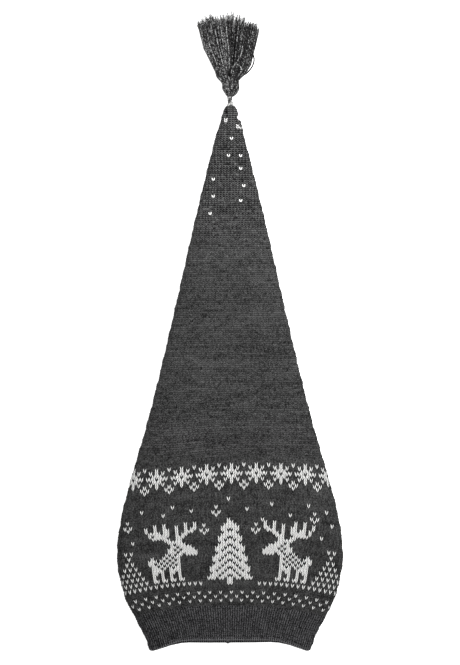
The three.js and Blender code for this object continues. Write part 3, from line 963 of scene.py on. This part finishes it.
def math(tree, operation, *values):
    """A Math node's result."""
    return node(tree, "ShaderNodeMath", dict(enumerate(values)), operation=operation).outputs[0]


def ramp(tree, value, low, high, start=0.0, end=1.0):
    """A smooth step of a value from one number to another."""
    made = node(
        tree, "ShaderNodeMapRange",
        {"Value": value, "From Min": low, "From Max": high, "To Min": start, "To Max": end},
        interpolation_type="SMOOTHSTEP",
    )
    return made.outputs[0]


def stitch_group():
    """Shape of the stitches from their place in the knitting, one unit to a wale and one to a course.

    A leg runs on each side of a wale's middle. Between the legs of a stitch the gap opens towards the top,
    between two wales it is open all the way, and a crease parts one course from the next. Plies run slantwise
    along the legs.
    """
    inputs = {"Vector": None, **dict.fromkeys(STITCH_GAPS, 0.3)}
    group, wanted, result = new_group("stitches", inputs, "Gap", "Height")
    split = node(group, "ShaderNodeSeparateXYZ", {0: wanted["Vector"]})
    across = math(group, "FRACT", split.outputs["X"])
    up = math(group, "FRACT", split.outputs["Y"])
    aside = math(group, "ABSOLUTE", math(group, "SUBTRACT", across, 0.5))
    shut = math(group, "MULTIPLY_ADD", up, -0.35, 0.67)
    past = math(group, "MULTIPLY_ADD", wanted["Valley Width"], shut, math(group, "SUBTRACT", aside, 0.5))
    valley = math(group, "MULTIPLY", ramp(group, past, -0.05, 0.05), ramp(group, up, 0.3, 0.8, 1.0, 0.35))
    open_ = math(group, "MULTIPLY", wanted["Middle Width"], math(group, "MULTIPLY_ADD", up, 0.5, 0.25))
    short = math(group, "SUBTRACT", open_, aside)
    middle = math(group, "MULTIPLY", ramp(group, short, -0.05, 0.05), ramp(group, up, 0.1, 0.6, 0.15, 1.0))
    crease = ramp(group, math(group, "ABSOLUTE", math(group, "SUBTRACT", up, 0.5)), 0.22, 0.44)
    gaps = [math(group, "MULTIPLY", form, wanted[name])
            for form, name in ((valley, "Valley"), (middle, "Middle"), (crease, "Crease"))]
    total = math(group, "MAXIMUM", math(group, "MAXIMUM", gaps[0], gaps[1]), gaps[2])
    twist = math(group, "MULTIPLY_ADD", aside, 22.0, math(group, "MULTIPLY", split.outputs["Y"], 12.57))
    plies = math(group, "MULTIPLY", math(group, "SINE", twist), 0.12)
    # The gap mask goes to the heather, which paints shade in it.
    group.links.new(total, result["Gap"])
    group.links.new(math(group, "SUBTRACT", plies, total), result["Height"])
    return group


def strand_group():
    """Plies wound round a strand, from its place on it: turns round it, and millimetres along it."""
    group, wanted, result = new_group("strands", {"Vector": None, "Twist": 3.0}, "Gap", "Height")
    split = node(group, "ShaderNodeSeparateXYZ", {0: wanted["Vector"]})
    along = math(group, "MULTIPLY", split.outputs["Y"], wanted["Twist"])
    wave = math(group, "SINE", math(group, "MULTIPLY_ADD", split.outputs["X"], 6.283, along))
    # The gap between plies is painted as shade in the heather.
    group.links.new(ramp(group, wave, -0.4, -1.0), result["Gap"])
    group.links.new(math(group, "MULTIPLY", wave, 0.5), result["Height"])
    return group


def heather_group():
    """Heather: dark yarn with paler fibres in soft patches and single specks, with painted shade where a gap is:
    there it goes over to the dark colour of the yarn behind, as it lies in shade.
    """
    black = (0, 0, 0, 1)
    inputs = {
        "Vector": None, "Dark": black, "Light": black, "Shaded Behind": black,
        "Tone": 0.5, "Speck Size": 1500.0, "Speck": 0.5, "Gap": 0.0, "Depth": 0.6,
    }
    group, wanted, result = new_group("heather", inputs, "Color", "Height")

    def noise(scale, detail):
        sockets = {"Vector": wanted["Vector"], "Scale": scale, "Detail": detail}
        return node(group, "ShaderNodeTexNoise", sockets).outputs["Fac"]

    def mix(factor, one, other):
        return node(group, "ShaderNodeMix", {0: factor, 6: one, 7: other}, data_type="RGBA").outputs[2]

    specks = noise(wanted["Speck Size"], 2.0)
    soft = math(group, "MULTIPLY_ADD", math(group, "SUBTRACT", noise(240.0, 2.0), 0.5), 0.13, wanted["Tone"])
    fleck = ramp(group, specks, 0.32, 0.68, -0.5, 0.5)
    factor = math(group, "MULTIPLY_ADD", fleck, wanted["Speck"], soft)
    factor.node.use_clamp = True
    colour = mix(factor, wanted["Dark"], wanted["Light"])
    # Painted shade: the gap mask times its depth mixes the yarn over to the shaded colour behind it.
    shade = math(group, "MULTIPLY", wanted["Gap"], wanted["Depth"])
    group.links.new(mix(shade, colour, wanted["Shaded Behind"]), result["Color"])
    group.links.new(math(group, "MULTIPLY_ADD", noise(3200.0, 1.0), 0.5, specks), result["Height"])
    return group


def yarn_material(name, colours, form, behind=0.006, depth=0.7, speck=0.5, speck_size=1500.0, stretch=1.0,
                  roughness=0.95, sheen=0.015, relief=0.0005):
    """A yarn: heather colour with painted shade in the gaps of its stitches or plies, with their relief and a soft
    sheen. behind is the shaded colour that a gap shows, and depth how fully a gap takes it.

    form is the gaps of its stitches, or the twist of its strands. The grain of cloth follows the object, and
    that of a strand follows its length, other for every tone.
    """
    material = bpy.data.materials.new(name)
    material.use_nodes = True
    tree = material.node_tree
    tree.nodes.clear()
    knitting = node(tree, "ShaderNodeUVMap", uv_map="yarn").outputs["UV"]
    tone = node(tree, "ShaderNodeAttribute", attribute_name="tone").outputs["Fac"]
    groups = bpy.data.node_groups
    if isinstance(form, tuple):
        values = dict(zip(STITCH_GAPS, form))
        group = groups.get("stitches") or stitch_group()
        grain = node(tree, "ShaderNodeTexCoord").outputs["Object"]
    else:
        values = {"Twist": form}
        group = groups.get("strands") or strand_group()
        split = node(tree, "ShaderNodeSeparateXYZ", {0: knitting}).outputs
        axes = [math(tree, "MULTIPLY", value, size)
                for value, size in ((split["X"], 0.002), (split["Y"], 0.001 * stretch), (tone, 0.06))]
        grain = node(tree, "ShaderNodeCombineXYZ", dict(enumerate(axes))).outputs[0]
    shape = node(tree, "ShaderNodeGroup", {"Vector": knitting, **values}, node_tree=group).outputs
    chosen = bpy.context.scene.cap_colours
    ends = {end.title(): (*getattr(chosen, f"{colours}_{end}"), 1) for end in ("dark", "light")}
    heather = node(
        tree, "ShaderNodeGroup",
        {
            "Vector": grain, "Tone": tone, "Gap": shape["Gap"], **ends, "Shaded Behind": (behind, behind, behind, 1),
            "Depth": depth, "Speck": speck, "Speck Size": speck_size,
        },
        node_tree=groups.get("heather") or heather_group(),
    ).outputs
    height = math(tree, "MULTIPLY_ADD", heather["Height"], 0.35, shape["Height"])
    bump = node(tree, "ShaderNodeBump", {"Height": height, "Strength": 0.8, "Distance": relief})
    shader = node(
        tree, "ShaderNodeBsdfPrincipled",
        {
            "Base Color": heather["Color"], "Normal": bump.outputs["Normal"], "Roughness": roughness,
            "Sheen Weight": sheen, "Sheen Roughness": 0.5, "Specular IOR Level": 0.05,
        },
    )
    output = node(tree, "ShaderNodeOutputMaterial")
    tree.links.new(shader.outputs[0], output.inputs["Surface"])
    return material


# A stitch's gaps: depth and width of the valley between two wales, and of the middle between two legs, and
# depth of the crease between two courses. A gap's depth sets both its relief and how dark its painted shade is.
STITCH_GAPS = ("Valley", "Valley Width", "Middle", "Middle Width", "Crease")

# Each yarn's colours, then its stitches' gaps or its strands' twist in radians to a millimetre, then the rest.
# behind, in the rest, is the colour of a gap's painted shade, and depth how fully a gap takes it.
YARNS = {
    "patterned knit": ("charcoal", (0.75, 0.3, 0.6, 0.22, 0.35), dict(depth=0.9, speck=0.37, speck_size=800.0)),
    "plain knit": ("charcoal", (0.35, 0.3, 0.3, 0.2, 0.7), dict(depth=0.9, speck=0.37, speck_size=800.0)),
    "gathered knit": ("charcoal", (1.0, 0.5, 0.4, 0.2, 0.9), dict(
        behind=0.002, depth=1.0, speck=0.3, speck_size=800.0)),
    "rib knit": ("rib", (1.0, 0.5, 0.15, 0.15, 0.15), dict(behind=0.001, depth=1.0, speck=0.3, speck_size=800.0)),
    "white stitches": ("white", (1.0, 0.22, 1.0, 0.32, 1.0), dict(
        behind=0.02, depth=0.95, roughness=0.85, sheen=0.1)),
    "snow stitches": ("white", (1.0, 0.08, 1.0, 0.36, 0.0), dict(
        behind=0.02, depth=0.95, roughness=0.85, sheen=0.1)),
    "white yarn": ("tie", 3.0, dict(behind=0.02, depth=0.9)),
    "tassel yarn": ("tassel", 2.5, dict(
        depth=0.8, speck=1.85, speck_size=900.0, stretch=0.62, roughness=0.75, sheen=0.05, relief=0.0004)),
    "frayed ends": ("fray", 0.0, dict(depth=0.2, roughness=0.8, sheen=0.2)),
}


def material_named(name):
    """The material of that name, made from the colours in the scene's settings when it is first asked for."""
    colours, form, settings = YARNS[name]
    return bpy.data.materials.get(name) or yarn_material(name, colours, form, **settings)


def colour_setting(name, description, default):
    """A colour of a yarn, with its name and what it is."""
    return FloatVectorProperty(name=name, description=description, default=default, subtype="COLOR", min=0, max=1)


class CapSizes(bpy.types.PropertyGroup):
    """Sizes and counts that a user would change."""

    strands: IntProperty(name="Strands", description="Yarn ends in the tassel", default=430, min=20)
    head_strands: IntProperty(
        name="Head strands", description="Those that run over the tassel's head", default=76, min=10,
    )
    strand_radius: FloatProperty(
        name="Strand radius", description="Radius of one yarn end", default=0.55 * MM, unit="LENGTH",
    )
    tie_yarn: FloatProperty(
        name="Tie yarn", description="Radius of the white tie's yarn", default=0.8 * MM, unit="LENGTH",
    )
    camera_lens: FloatProperty(name="Lens", description="Focal length", default=120.0, min=20)
    light: FloatProperty(name="Light", description="Strength of the overhead light", default=36.0, unit="POWER")
    sky: FloatProperty(name="Sky", description="Strength of the light from all round", default=1.0, min=0)
    table: FloatProperty(name="Table", description="Glow of the lit table under the hat", default=0.6, min=0)


class CapColours(bpy.types.PropertyGroup):
    """Dark and light ends of each yarn's heather."""

    charcoal_dark: colour_setting("Charcoal dark", "Darkest fibres of the crown", (0.005, 0.005, 0.005))
    charcoal_light: colour_setting("Charcoal light", "Palest fibres of the crown", (0.15, 0.15, 0.15))
    rib_dark: colour_setting("Rib dark", "Darkest fibres of the band", (0.006, 0.006, 0.0064))
    rib_light: colour_setting("Rib light", "Palest fibres of the band", (0.225, 0.225, 0.232))
    white_dark: colour_setting("White dark", "Greyest fibres of the white yarn", (0.84, 0.84, 0.826))
    white_light: colour_setting("White light", "Whitest fibres of the white yarn", (0.97, 0.97, 0.956))
    tie_dark: colour_setting("Tie dark", "Greyest fibres of the tie", (0.2, 0.2, 0.195))
    tie_light: colour_setting("Tie light", "Whitest fibres of the tie", (0.66, 0.66, 0.65))
    tassel_dark: colour_setting("Tassel dark", "Darkest strands", (0.006, 0.006, 0.006))
    tassel_light: colour_setting("Tassel light", "Palest strands", (0.34, 0.34, 0.34))
    fray_dark: colour_setting("Fray dark", "Darkest loose fibres", (0.008, 0.008, 0.008))
    fray_light: colour_setting("Fray light", "Palest loose fibres", (0.13, 0.13, 0.13))


class CAP_OT_ribbed_band(bpy.types.Operator):
    """Knit the ribbed band with its rolled hem"""

    bl_idname = "cap.ribbed_band"
    bl_label = "Ribbed band"

    def execute(self, context):
        dress(ribbed_band().build("band_knitting", "rib knit"), "charcoal_rib", "ribbed_band")
        return {"FINISHED"}


class CAP_OT_crown(bpy.types.Operator):
    """Knit the crown in two lengths: the patterned part and the plain cone"""

    bl_idname = "cap.crown"
    bl_label = "Crown"

    def execute(self, context):
        edges = course_edges(BAND_HEIGHT, CROWN_END)
        white = white_stitches(edges)
        split = int(np.searchsorted(edges, PATTERN_END))
        low = crown_part(edges[: split + 1], 0, white[:split], False, 60)
        high = crown_part(edges[split:], split, white[split:], True, 80)
        low = low.build("patterned_knitting", "patterned knit", "white stitches")
        high = high.build("cone_knitting", "plain knit", "white stitches", "gathered knit", "snow stitches")
        dress(low, "charcoal_yarn", "crown")
        dress(high, "charcoal_yarn", "crown")
        return {"FINISHED"}


class CAP_OT_apex_tie(bpy.types.Operator):
    """Wind the white yarn round the apex, high on the right where it is knotted and low on the left"""

    bl_idname = "cap.apex_tie"
    bl_label = "Apex tie"

    def execute(self, context):
        ply = context.scene.cap_sizes.tie_yarn / MM * 0.5
        turn = np.linspace(-0.7, TIE_TURNS * 2 * np.pi, 70)
        x = TIE_HALF_WIDTH * np.cos(turn) + 0.1
        y = HEM_Y + TIE_AT + TIE_TILT * x + TIE_CLIMB * np.linspace(-1, 1, len(turn))
        ring = np.stack([x, y, TIE_HEIGHT + TIE_HALF_HEIGHT * np.sin(turn)], axis=-1)
        knot = smooth_path(KNOT, 40)
        dress(twisted_piece("apex_tie_yarn", ring, ply, 10, (0, 1, 0), "white yarn"), "white_yarn", "apex_tie")
        dress(twisted_piece("apex_knot_yarn", knot, ply, 7, (0.1, 0.2, 1), "white yarn"), "white_yarn", "apex_tie")
        return {"FINISHED"}


class CAP_OT_tassel_cord(bpy.types.Operator):
    """Twist the short cord between the apex and the tassel, thicker where it enters the tassel"""

    bl_idname = "cap.tassel_cord"
    bl_label = "Tassel cord"

    def execute(self, context):
        at = np.linspace(*CORD_RUN, 60)
        lean = np.interp(at, (CORD_RUN[0], 624, CORD_RUN[1]), (0.2, -0.3, -0.1))
        path = np.stack([lean, HEM_Y + at, np.full(len(at), CORD_HEIGHT)], axis=-1)
        ply = np.interp(at, (621, 625, 631), (0.85, 1.1, 1.5))
        tones = (-0.05, -0.02, 0.05)
        cord = twisted_piece("twisted_cord", path, ply, CORD_TURNS, (0, 0, 1), "tassel yarn", tones)
        dress(cord, "tassel_yarn", "tassel_cord")
        return {"FINISHED"}


class CAP_OT_tassel(bpy.types.Operator):
    """Lay the tassel's strands over its head, in at its neck and out into the skirt"""

    bl_idname = "cap.tassel"
    bl_label = "Tassel"

    def execute(self, context):
        sizes = context.scene.cap_sizes
        rng = np.random.default_rng(7)
        shell, inner = sizes.head_strands, sizes.strands - sizes.head_strands
        turn = (np.arange(shell) + rng.uniform(-0.35, 0.35, shell)) * 2 * np.pi / shell
        over = tassel_paths(rng, turn, rng.uniform(0.93, 1.0, shell), 631.5)
        inside = tassel_paths(rng, rng.uniform(0, 2 * np.pi, inner), 0.97 * np.sqrt(rng.random(inner)), 641)
        paths = np.concatenate([over, inside])
        taper = np.interp(np.linspace(0, 1, STRAND_STEPS), (0, 0.08, 0.88, 1), (0.8, 1, 1, 0.4))
        thick = (sizes.strand_radius / MM * taper)[None, :] * rng.uniform(0.8, 1.15, len(paths))[:, None]
        tones = np.where(rng.random(len(paths)) < 0.35, 0.3, -0.12) + rng.normal(0, 0.2, len(paths))
        tones -= RIGHT_DARKER * np.clip(0.6 + paths[:, -1, 0] / 15, 0, 1)
        dress(strand_piece("tassel_strands", paths, thick, 6, tones, "tassel yarn"), "tassel_yarn", "tassel")

        loose = np.stack([smooth_path(points, 40) for points in (LOOP, CURL, *ENDS)])
        threads = strand_piece("loose_threads", loose, LOOSE_RADII, 6, LOOSE_TONES, "tassel yarn", ())
        dress(threads, "tassel_yarn", "tassel")

        tips = paths[:, -1]
        ahead = tips - paths[:, -3]
        ahead /= np.linalg.norm(ahead, axis=1, keepdims=True)
        spray = rng.normal(0, FRAY_SPRAY, tips.shape)
        length = rng.uniform(*FRAY_LENGTH, len(tips))
        share = np.linspace(-0.25, 1, 5)
        way = (ahead + spray)[:, None, :] * share[None, :, None] * length[:, None, None]
        fray = tips[:, None, :] + way + spray[:, None, :] * (share**2)[None, :, None] * 1.2
        fray[..., 2] = np.maximum(fray[..., 2], 0.35)
        thin = FRAY_RADIUS * np.interp(share, (0, 1), (1, 0.45))
        frays = strand_piece("frayed_tips", fray, thin, 3, rng.random(len(fray)), "frayed ends")
        dress(frays, "tassel_yarn", "tassel")
        return {"FINISHED"}


class CAP_OT_tassel_binding(bpy.types.Operator):
    """Wind the yarn that draws in the tassel's neck"""

    bl_idname = "cap.tassel_binding"
    bl_label = "Tassel binding"

    def execute(self, context):
        turn = np.linspace(0, BINDING_TURNS * 2 * np.pi, 150)
        x = BINDING_HALF_SIZE[0] * np.cos(turn)
        y = HEM_Y + NECK_AT + BINDING_HALF_RUN * np.linspace(-1, 1, len(turn))
        path = np.stack([x, y, AXIS_HEIGHT + BINDING_HALF_SIZE[1] * np.sin(turn)], axis=-1)
        piece = twisted_piece("binding_yarn", path, 0.36, 60, (0, 1, 0), "tassel yarn", (-0.4, -0.1))
        dress(piece, "tassel_yarn", "tassel_binding")
        return {"FINISHED"}


class CAP_OT_stage(bpy.types.Operator):
    """Set the pale floor, the soft light from above and the camera that looks straight down"""

    bl_idname = "cap.stage"
    bl_label = "Stage"

    def execute(self, context):
        scene = context.scene
        sizes = scene.cap_sizes
        mesh = bpy.data.meshes.new("floor")
        corners = np.array([(-1, -1, 0), (1, -1, 0), (1, 1, 0), (-1, 1, 0)]) * FLOOR_HALF
        mesh.from_pydata(corners - (0, 0, FLOOR_BELOW), [], [(0, 1, 2, 3)])
        floor = new_object("floor", mesh)
        paper = bpy.data.materials.new("white paper")
        paper.use_nodes = True
        finish = {
            "Base Color": (0.95, 0.95, 0.95, 1), "Roughness": 0.9, "Specular IOR Level": 0.0,
            "Emission Color": (1, 1, 1, 1), "Emission Strength": sizes.table,
        }
        for key, value in finish.items():
            paper.node_tree.nodes["Principled BSDF"].inputs[key].default_value = value
        mesh.materials.append(paper)

        scene.world = bpy.data.worlds.new("studio")
        scene.world.use_nodes = True
        backdrop = scene.world.node_tree.nodes["Background"]
        backdrop.inputs["Color"].default_value = (1, 1, 1, 1)
        backdrop.inputs["Strength"].default_value = sizes.sky

        lamp = bpy.data.lights.new("overhead", "AREA")
        lamp.shape = "DISK"
        lamp.size = 1.2
        lamp.energy = sizes.light
        light = new_object("overhead", lamp)
        light.location = (0.55, 0.35, 1.45)
        light.rotation_euler = (-0.17, 0.36, 0)

        lens = bpy.data.cameras.new("camera")
        lens.lens = sizes.camera_lens
        lens.sensor_width = 36
        distance = FRAME_PIXELS * PIXEL * MM * lens.lens / lens.sensor_width
        scene.camera = new_object("camera", lens)
        scene.camera.location = (0, (HEM_Y + HEM_TO_MIDDLE_PIXELS * PIXEL) * MM, OUTLINE_HEIGHT + distance)
        scene.view_settings.view_transform = "Standard"
        return {"FINISHED"}


PIECES = (
    CAP_OT_ribbed_band,
    CAP_OT_crown,
    CAP_OT_apex_tie,
    CAP_OT_tassel_cord,
    CAP_OT_tassel,
    CAP_OT_tassel_binding,
    CAP_OT_stage,
)


class CAP_PT_panel(bpy.types.Panel):
    """Lists the sizes, the colours and the pieces"""

    bl_idname = "CAP_PT_panel"
    bl_label = "Knitted cap"
    bl_space_type = "VIEW_3D"
    bl_region_type = "UI"
    bl_category = "Knitted cap"

    def draw(self, context):
        layout = self.layout
        for settings in (context.scene.cap_sizes, context.scene.cap_colours):
            box = layout.box()
            for key in settings.__annotations__:
                box.prop(settings, key)
        for operator in PIECES:
            layout.operator(operator.bl_idname)


CLASSES = (CapSizes, CapColours, *PIECES, CAP_PT_panel)


def register():
    for each in CLASSES:
        bpy.utils.register_class(each)
    bpy.types.Scene.cap_sizes = PointerProperty(type=CapSizes)
    bpy.types.Scene.cap_colours = PointerProperty(type=CapColours)


def unregister():
    del bpy.types.Scene.cap_colours
    del bpy.types.Scene.cap_sizes
    for each in reversed(CLASSES):
        bpy.utils.unregister_class(each)


def main():
    """Makes every piece in order."""
    register()
    for operator in PIECES:
        group, name = operator.bl_idname.split(".")
        getattr(getattr(bpy.ops, group), name)()


if __name__ == "__main__":
    main()
